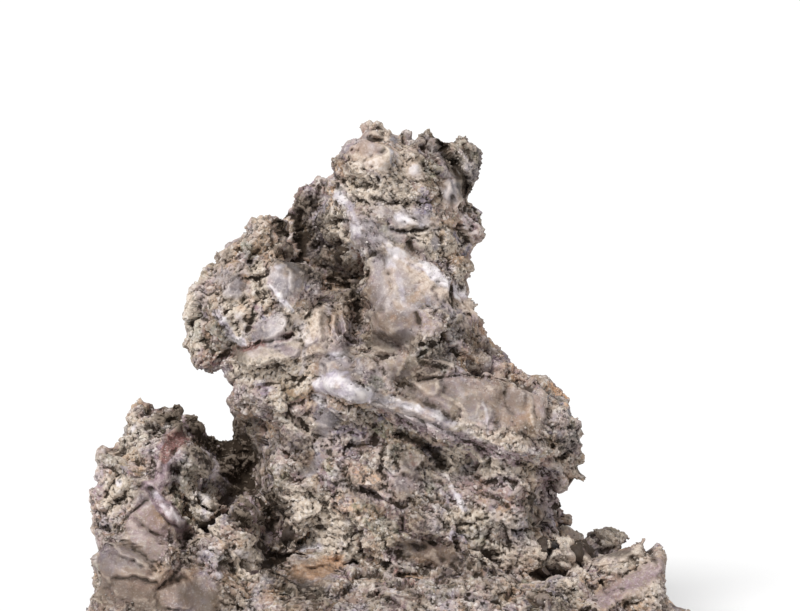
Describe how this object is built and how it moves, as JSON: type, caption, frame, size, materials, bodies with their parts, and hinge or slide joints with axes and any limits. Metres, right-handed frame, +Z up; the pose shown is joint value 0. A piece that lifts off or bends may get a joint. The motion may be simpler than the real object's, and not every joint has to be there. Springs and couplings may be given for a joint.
{
  "type": "rough rock",
  "caption": "Craggy natural rock for display: a broken volcanic tower with an overhanging shoulder, a jutting ledge and a wide flat foot, veined with pale quartz.",
  "frame": {"origin": "middle of the bounding box's underside, on the flat foot that the rock stands on", "axes": "+Z up, -Y out of the side that is looked at, +X to the right of it, along the rock's longest side"},
  "size_m": [0.1554, 0.1076, 0.1339],
  "materials": {
    "stone": "dry, rough and granular, with smoother waxy patches of quartz"
  },
  "bodies": {
    "root": {"rock": "stone"}
  },
  "joints": []
}
